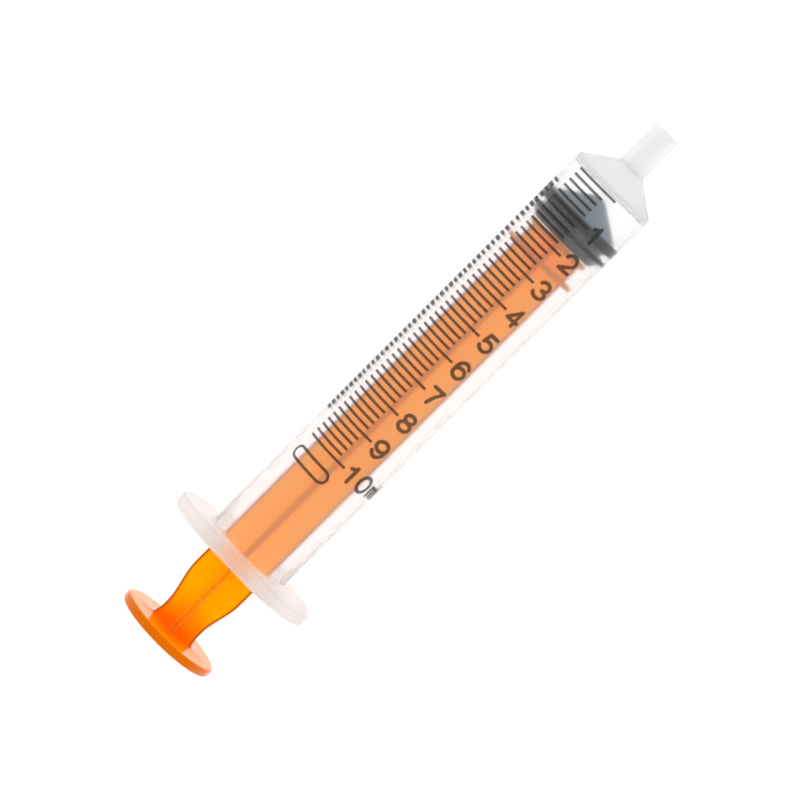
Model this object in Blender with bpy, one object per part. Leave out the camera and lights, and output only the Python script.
"""A 10 mL oral syringe: a clear barrel, a rubber stopper and a plunger rod.

Metres, +Z up. The syringe lies on the flat side of its finger flange, with its axis along X:
the thumb disc is at -X and the nozzle at +X. The origin is under the middle of the whole syringe.
A station is a distance along the syringe from the face that the thumb presses.
"""

import math

import bmesh
import bpy
from mathutils import Matrix, Vector

MM = 0.001
SEGMENTS = 44

# The barrel's bore sets the scale: one millilitre is a cylinder of the bore's area.
BORE_RADIUS = 7.215 * MM
ML_LENGTH = 1e-6 / (math.pi * BORE_RADIUS**2)
BARREL_RADIUS = 8.0 * MM
NOZZLE_ROOT_RADIUS = 2.5 * MM
NOZZLE_TIP_RADIUS = 2.4 * MM
NOZZLE_BORE_RADIUS = 1.2 * MM
FLANGE_HALF_WIDTH = 14.5 * MM
FLANGE_HALF_DEPTH = 10.0 * MM
FLANGE_THICKNESS = 2.4 * MM
FLANGE_BEVEL = 0.35 * MM

# Stations along the syringe.
FLANGE_REAR = 17.25 * MM
ZERO_MARK = 103.05 * MM
BORE_END = ZERO_MARK + 0.3 * MM
SHOULDER = 104.6 * MM
NOZZLE_ROOT = 108.55 * MM
LENGTH = 116.8 * MM

# A bead just inside the mouth stops the rod's guide disc, so the plunger can't be pulled out.
MOUTH_RADIUS = 7.5 * MM
BEAD_RADIUS = 6.5 * MM
BEAD_START = FLANGE_REAR + 0.9 * MM
BEAD_LENGTH = 0.8 * MM

# The plunger stands at 0.9 mL: the front edge of the stopper's front rib reads the scale.
REST_VOLUME = 0.9
STOPPER_EDGE = ZERO_MARK - REST_VOLUME * ML_LENGTH
GAP = 0.3 * MM
STOPPER_RIB_RADIUS = BORE_RADIUS - 1.05 * GAP
STOPPER_GROOVE_RADIUS = 6.35 * MM
STOPPER_REAR_RADIUS = 6.1 * MM
FRONT_RIB_LENGTH = 1.85 * MM
GROOVE_LENGTH = 0.95 * MM
REAR_RIB_LENGTH = 0.85 * MM
REAR_TAPER_LENGTH = 1.4 * MM
NOSE_ROUND = 2.4 * MM

# The rod's head snaps into the stopper's socket.
HEAD_RADIUS = 3.3 * MM
HEAD_LENGTH = 2.4 * MM
NECK_RADIUS = 2.1 * MM
NECK_LENGTH = 1.3 * MM

DISC_RADIUS = 9.6 * MM
DISC_THICKNESS = 1.7 * MM
RIB_RADIUS = 5.2 * MM
RIB_THICKNESS = 1.05 * MM
WAIST_RADIUS = 3.95 * MM
WAIST_STATION = 4.7 * MM
FULL_RIB_STATION = 12.5 * MM
ROOT_FLARE = 0.4 * MM
CORE_RADIUS = 0.95 * MM
GUIDE_RADIUS = 6.85 * MM
GUIDE_THICKNESS = 0.8 * MM
GUIDE_STATION = 87.6 * MM
PLATE_RADIUS = 6.0 * MM
PLATE_THICKNESS = 0.9 * MM
# The rod can stand at any angle in the barrel; here its cross is turned a little.
ROD_TURN = math.radians(7.0)

AXIS_HEIGHT = FLANGE_HALF_DEPTH
CUT_MARGIN = 2.0 * MM


def clear_scene():
    for old in list(bpy.data.objects):
        bpy.data.objects.remove(old, do_unlink=True)


def material(name, colour, roughness, alpha=1.0):
    made = bpy.data.materials.new(name)
    made.use_nodes = True
    shader = made.node_tree.nodes["Principled BSDF"]
    shader.inputs["Base Color"].default_value = (*colour, 1.0)
    shader.inputs["Roughness"].default_value = roughness
    shader.inputs["Metallic"].default_value = 0.0
    shader.inputs["Alpha"].default_value = alpha
    return made


def rounded(corners, steps=2):
    """The outline through (station, radius, rounding) corners, with an arc at each rounded one."""
    points = []
    last = len(corners) - 1
    for index, (station, radius, rounding) in enumerate(corners):
        corner = Vector((station, radius))
        if rounding == 0.0 or index in (0, last):
            points.append(corner)
            continue
        before = (Vector(corners[index - 1][:2]) - corner).normalized()
        after = (Vector(corners[index + 1][:2]) - corner).normalized()
        half = before.angle(after) / 2.0
        centre = corner + (before + after).normalized() * (rounding / math.sin(half))
        start = corner + before * (rounding / math.tan(half)) - centre
        sweep = start.angle_signed(corner + after * (rounding / math.tan(half)) - centre)
        for step in range(steps + 1):
            points.append(centre + Matrix.Rotation(-sweep * step / steps, 2) @ start)
    return points


def new_object(name, mesh_builder, shader=None):
    """An object on the syringe's axis whose mesh is made of stations, then centred on the part."""
    mesh = bpy.data.meshes.new(name)
    shape = bmesh.new()
    mesh_builder(shape)
    bmesh.ops.remove_doubles(shape, verts=shape.verts, dist=0.0000005)
    bmesh.ops.recalc_face_normals(shape, faces=shape.faces)
    shape.to_mesh(mesh)
    shape.free()
    made = bpy.data.objects.new(name, mesh)
    made.location = (-LENGTH / 2.0, 0.0, AXIS_HEIGHT)
    bpy.context.collection.objects.link(made)
    if shader:
        mesh.materials.append(shader)
    return made


def turned(points):
    """A builder that turns an outline, from the axis round to the axis, about the X axis."""

    def build(shape):
        verts = [shape.verts.new((point.x, 0.0, max(point.y, 0.0))) for point in points]
        edges = [shape.edges.new(pair) for pair in zip(verts, verts[1:])]
        bmesh.ops.spin(
            shape,
            geom=verts + edges,
            cent=(0.0, 0.0, 0.0),
            axis=(1.0, 0.0, 0.0),
            angle=2.0 * math.pi,
            steps=SEGMENTS,
            use_merge=True,
        )

    return build


def slab(outline, thickness_axis, thickness):
    """A builder for a flat outline of 3-D points, thickened evenly about its own plane."""

    def build(shape):
        half = Vector(thickness_axis) * (thickness / 2.0)
        face = shape.faces.new([shape.verts.new(point - half) for point in outline])
        grown = bmesh.ops.extrude_face_region(shape, geom=[face])
        moved = [item for item in grown["geom"] if isinstance(item, bmesh.types.BMVert)]
        bmesh.ops.translate(shape, verts=moved, vec=half * 2.0)

    return build


def boolean(target, operation, tool):
    """Adds a Boolean with a helper object, which the finished part leaves out."""
    tool.hide_render = True
    tool.display_type = "WIRE"
    change = target.modifiers.new(tool.name, "BOOLEAN")
    change.operation = operation
    change.solver = "EXACT"
    change.object = tool


def smooth(target):
    target.data.shade_smooth()
    target.data.set_sharp_from_angle(angle=math.radians(30.0))


def flange_outline():
    """Two round ears joined by flat sides, across the syringe's axis."""
    ear_centre = FLANGE_HALF_WIDTH - FLANGE_HALF_DEPTH
    ear_steps = 16
    middle = FLANGE_REAR + FLANGE_THICKNESS / 2.0
    outline = []
    for side in (1.0, -1.0):
        for step in range(ear_steps + 1):
            angle = math.pi * step / ear_steps - side * math.pi / 2.0
            across = side * ear_centre + FLANGE_HALF_DEPTH * math.cos(angle)
            outline.append(Vector((middle, across, FLANGE_HALF_DEPTH * math.sin(angle))))
    return outline


def make_barrel(shader):
    """The clear moulding: tube, finger flange, conical shoulder and wide oral nozzle."""
    tube_start = FLANGE_REAR + FLANGE_THICKNESS / 2.0
    flange_front = FLANGE_REAR + FLANGE_THICKNESS
    outer = rounded([
        (tube_start, 0.0, 0.0),
        (tube_start, BARREL_RADIUS + 0.5 * MM, 0.0),
        (flange_front + 0.3 * MM, BARREL_RADIUS + 0.5 * MM, 0.0),
        (flange_front + 1.1 * MM, BARREL_RADIUS, 0.0),
        (SHOULDER, BARREL_RADIUS, 0.7 * MM),
        (NOZZLE_ROOT, NOZZLE_ROOT_RADIUS, 0.6 * MM),
        (LENGTH, NOZZLE_TIP_RADIUS, 0.35 * MM),
        (LENGTH, 0.0, 0.0),
    ])
    barrel = new_object("barrel", turned(outer), shader)

    flange = new_object("flange_plate", slab(flange_outline(), (1.0, 0.0, 0.0), FLANGE_THICKNESS))
    edges = flange.modifiers.new("edges", "BEVEL")
    edges.width = FLANGE_BEVEL
    edges.segments = 2
    edges.limit_method = "ANGLE"
    edges.angle_limit = math.radians(60.0)
    boolean(barrel, "UNION", flange)

    shoulder_slope = (BARREL_RADIUS - NOZZLE_ROOT_RADIUS) / (NOZZLE_ROOT - SHOULDER)
    cone_length = (BORE_RADIUS - NOZZLE_BORE_RADIUS) / shoulder_slope
    mouth = FLANGE_REAR - CUT_MARGIN
    ramp = BORE_RADIUS - BEAD_RADIUS
    hollow = rounded([
        (mouth, 0.0, 0.0),
        (mouth, MOUTH_RADIUS, 0.0),
        (FLANGE_REAR + 0.5 * MM, MOUTH_RADIUS, 0.0),
        (BEAD_START, BEAD_RADIUS, 0.0),
        (BEAD_START + BEAD_LENGTH, BEAD_RADIUS, 0.0),
        (BEAD_START + BEAD_LENGTH + ramp, BORE_RADIUS, 0.0),
        (BORE_END, BORE_RADIUS, 0.0),
        (BORE_END + cone_length, NOZZLE_BORE_RADIUS, 0.4 * MM),
        (LENGTH + CUT_MARGIN, NOZZLE_BORE_RADIUS, 0.0),
        (LENGTH + CUT_MARGIN, 0.0, 0.0),
    ])
    boolean(barrel, "DIFFERENCE", new_object("bore", turned(hollow)))
    smooth(barrel)
    return barrel


def make_stopper(shader):
    """The rubber seal: two ribs, a conical nose and a socket for the rod's head."""
    shoulder_slope = (BARREL_RADIUS - NOZZLE_ROOT_RADIUS) / (NOZZLE_ROOT - SHOULDER)
    apex = STOPPER_EDGE + STOPPER_RIB_RADIUS / shoulder_slope
    front_rib = STOPPER_EDGE - FRONT_RIB_LENGTH
    rear_rib_end = front_rib - GROOVE_LENGTH
    rear_rib = rear_rib_end - REAR_RIB_LENGTH
    rear = rear_rib - REAR_TAPER_LENGTH
    socket = rear + NECK_LENGTH - GAP
    socket_end = socket + HEAD_LENGTH + 2.0 * GAP
    profile = rounded([
        (apex, 0.0, 0.0),
        (STOPPER_EDGE, STOPPER_RIB_RADIUS, 0.25 * MM),
        (front_rib, STOPPER_RIB_RADIUS, 0.25 * MM),
        (front_rib - 0.25 * MM, STOPPER_GROOVE_RADIUS, 0.0),
        (rear_rib_end + 0.25 * MM, STOPPER_GROOVE_RADIUS, 0.0),
        (rear_rib_end, STOPPER_RIB_RADIUS, 0.2 * MM),
        (rear_rib, STOPPER_RIB_RADIUS, 0.2 * MM),
        (rear, STOPPER_REAR_RADIUS, 0.0),
        (rear, NECK_RADIUS + GAP, 0.0),
        (socket, NECK_RADIUS + GAP, 0.0),
        (socket, HEAD_RADIUS + GAP, 0.0),
        (socket_end, HEAD_RADIUS + GAP, 0.0),
        (socket_end, 0.0, 0.0),
    ])
    tangent = NOSE_ROUND * math.cos(math.atan(shoulder_slope))
    nose = nose_points(apex, shoulder_slope, tangent)
    stopper = new_object("stopper", turned(nose + profile[1:]), shader)
    smooth(stopper)
    return stopper


def nose_points(apex, slope, tangent):
    """The rounded tip of a cone, from the axis out to where the round meets the cone."""
    half_angle = math.atan(slope)
    centre = apex - NOSE_ROUND / math.sin(half_angle)
    steps = 4
    reach = math.asin(tangent / NOSE_ROUND)
    angles = [reach * step / steps for step in range(steps + 1)]
    return [
        Vector((centre + NOSE_ROUND * math.cos(angle), NOSE_ROUND * math.sin(angle)))
        for angle in angles
    ]


def rib_radius(station):
    """How far a rib stands out: flared at the thumb disc, waisted, then full."""
    rise = (station - WAIST_STATION) / (FULL_RIB_STATION - WAIST_STATION)
    rise = min(max(rise, 0.0), 1.0)
    full = WAIST_RADIUS + (RIB_RADIUS - WAIST_RADIUS) * rise * rise * (3.0 - 2.0 * rise)
    flare = (WAIST_STATION - station) / (WAIST_STATION - DISC_THICKNESS)
    flare = min(max(flare, 0.0), 1.0)
    return full + ROOT_FLARE * flare**3


def rib_outline(start, end, across):
    """The outline of one cross rib, seen along its thickness."""
    waist_steps = 12
    stations = [start]
    for step in range(waist_steps + 1):
        stations.append(DISC_THICKNESS + (FULL_RIB_STATION - DISC_THICKNESS) * step / waist_steps)
    stations.append(end)
    upper = [Vector((s, 0.0, 0.0)) + Vector(across) * rib_radius(s) for s in stations]
    lower = [Vector((s, 0.0, 0.0)) - Vector(across) * rib_radius(s) for s in reversed(stations)]
    return upper + lower


def make_plunger_rod(shader):
    """The coloured moulding: thumb disc, cross ribs, guide disc, push plate and snap-in head."""
    front_rib = STOPPER_EDGE - FRONT_RIB_LENGTH
    stopper_rear = front_rib - GROOVE_LENGTH - REAR_RIB_LENGTH - REAR_TAPER_LENGTH
    plate_front = stopper_rear - GAP
    plate_rear = plate_front - PLATE_THICKNESS
    head = stopper_rear + NECK_LENGTH
    guide_rear = GUIDE_STATION - GUIDE_THICKNESS / 2.0
    guide_front = GUIDE_STATION + GUIDE_THICKNESS / 2.0
    profile = rounded([
        (0.0, 0.0, 0.0),
        (0.0, DISC_RADIUS, 0.55 * MM),
        (DISC_THICKNESS, DISC_RADIUS, 0.55 * MM),
        (DISC_THICKNESS, CORE_RADIUS, 0.0),
        (guide_rear, CORE_RADIUS, 0.0),
        (guide_rear, GUIDE_RADIUS, 0.0),
        (guide_front, GUIDE_RADIUS, 0.0),
        (guide_front, CORE_RADIUS, 0.0),
        (plate_rear, CORE_RADIUS, 0.0),
        (plate_rear, PLATE_RADIUS, 0.0),
        (plate_front, PLATE_RADIUS, 0.0),
        (plate_front, NECK_RADIUS, 0.0),
        (head, NECK_RADIUS, 0.0),
        (head, HEAD_RADIUS, 0.0),
        (head + HEAD_LENGTH, HEAD_RADIUS - 0.7 * MM, 0.0),
        (head + HEAD_LENGTH, 0.0, 0.0),
    ])
    rod = new_object("plunger_rod", turned(profile), shader)
    rib_start = DISC_THICKNESS / 2.0
    rib_end = plate_rear + PLATE_THICKNESS / 2.0
    for name, across, through in (
        ("flat_rib", (0.0, 1.0, 0.0), (0.0, 0.0, 1.0)),
        ("upright_rib", (0.0, 0.0, 1.0), (0.0, 1.0, 0.0)),
    ):
        outline = rib_outline(rib_start, rib_end, across)
        rib = new_object(name, slab(outline, through, RIB_THICKNESS))
        rib.rotation_euler = (ROD_TURN, 0.0, 0.0)
        boolean(rod, "UNION", rib)
    rod.rotation_euler = (ROD_TURN, 0.0, 0.0)
    smooth(rod)
    return rod


def main():
    clear_scene()
    clear_plastic = material("clear_polypropylene", (0.90, 0.90, 0.89), 0.12, alpha=0.3)
    orange_plastic = material("orange_polypropylene", (1.0, 0.33, 0.0), 0.3)
    rubber = material("black_rubber", (0.02, 0.022, 0.025), 0.55)
    make_barrel(clear_plastic)
    stopper = make_stopper(rubber)
    rod = make_plunger_rod(orange_plastic)

    slider = bpy.data.objects.new("plunger_slide", None)
    slider.location = (0.0, 0.0, AXIS_HEIGHT)
    bpy.context.collection.objects.link(slider)
    bpy.context.view_layer.update()
    for moving in (stopper, rod):
        moving.parent = slider
        moving.matrix_parent_inverse = slider.matrix_world.inverted()


main()
